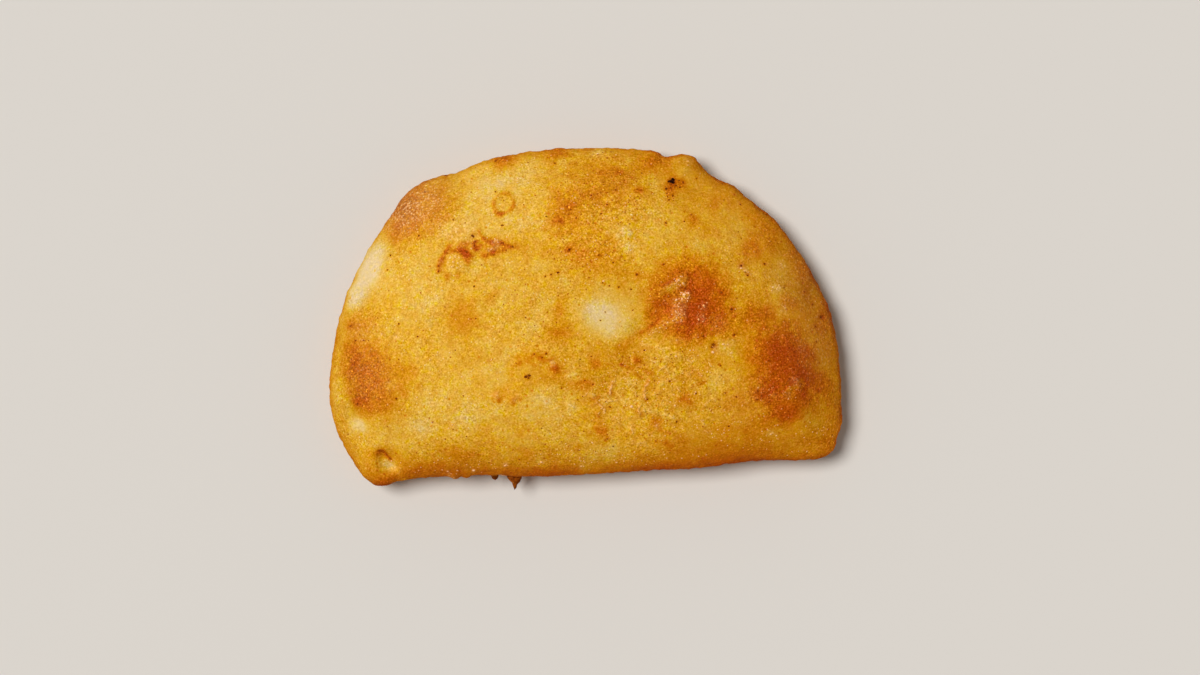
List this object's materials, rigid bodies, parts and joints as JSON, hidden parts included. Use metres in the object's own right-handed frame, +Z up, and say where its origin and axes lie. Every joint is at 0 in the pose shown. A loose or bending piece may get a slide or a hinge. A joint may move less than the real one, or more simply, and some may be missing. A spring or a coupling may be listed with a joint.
{
  "type": "beef empanada",
  "caption": "Fried half-moon turnover of golden corn dough, closed round its filling, with a straight rounded fold and a curved sealed edge; it lies flat on its underside.",
  "frame": {"origin": "middle of the bounding box in plan, on the table under the empanada", "axes": "+X along the straight fold, to the right with the fold nearest; +Y from the fold to the curved sealed edge; +Z up"},
  "size_m": [0.13, 0.0832, 0.0251],
  "materials": {
    "fried_crust": "fried corn dough: fine grainy golden crust with browned patches, satin from a thin film of oil"
  },
  "bodies": {
    "root": {"empanada": "fried_crust"}
  },
  "joints": []
}
